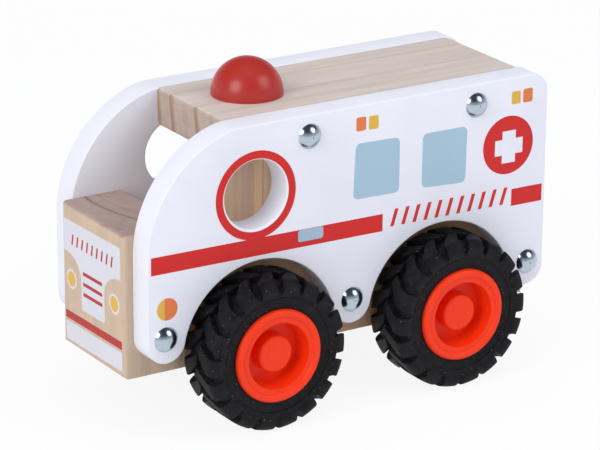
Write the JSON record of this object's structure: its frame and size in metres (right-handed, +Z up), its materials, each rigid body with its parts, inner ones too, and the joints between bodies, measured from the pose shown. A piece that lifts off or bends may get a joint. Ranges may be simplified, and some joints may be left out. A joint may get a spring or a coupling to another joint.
{
  "type": "toy ambulance",
  "caption": "Wooden toy ambulance: painted side panels with round windows hold pine blocks, a half-ball beacon tops the roof, and lugged rubber tyres roll on steel axles.",
  "frame": {"origin": "on the floor under the middle of the bounding box, where the tyres stand", "axes": "+X to the front of the vehicle, +Y to its left side, +Z up"},
  "size_m": [0.192, 0.104, 0.1386],
  "materials": {
    "panel_paint": "white satin paint on board",
    "pine": "bare sanded pine with clear matt lacquer",
    "beacon_paint": "red gloss paint on turned wood",
    "dowel_wood": "bare beech",
    "axle_steel": "drawn steel rod",
    "rim_plastic": "moulded orange plastic",
    "tyre_rubber": "moulded black rubber",
    "pin_zinc": "bright zinc plate"
  },
  "bodies": {
    "body": {"left_side_panel": "panel_paint", "right_side_panel": "panel_paint", "nose_block": "pine", "chassis_block": "pine", "bulkhead_block": "pine", "roof_block": "pine", "beacon_dome": "beacon_paint", "beacon_dowel": "dowel_wood", "left_nose_pin": "pin_zinc", "left_chassis_mid_pin": "pin_zinc", "left_chassis_rear_pin": "pin_zinc", "left_roof_front_pin": "pin_zinc", "left_roof_rear_pin": "pin_zinc", "right_nose_pin": "pin_zinc", "right_chassis_mid_pin": "pin_zinc", "right_chassis_rear_pin": "pin_zinc", "right_roof_front_pin": "pin_zinc", "right_roof_rear_pin": "pin_zinc"},
    "front_wheelset": {"front_axle": "axle_steel", "front_left_rim": "rim_plastic", "front_right_rim": "rim_plastic", "front_left_tyre": "tyre_rubber", "front_right_tyre": "tyre_rubber"},
    "rear_wheelset": {"rear_axle": "axle_steel", "rear_left_rim": "rim_plastic", "rear_right_rim": "rim_plastic", "rear_left_tyre": "tyre_rubber", "rear_right_tyre": "tyre_rubber"}
  },
  "joints": [
    {"name": "front_axle_spin", "type": "hinge", "parent": "body", "child": "front_wheelset", "pos_m": [0.041, 0, 0.0315], "axis": [0, 1, 0], "continuous": true},
    {"name": "rear_axle_spin", "type": "hinge", "parent": "body", "child": "rear_wheelset", "pos_m": [-0.0466, 0, 0.0315], "axis": [0, 1, 0], "continuous": true}
  ]
}
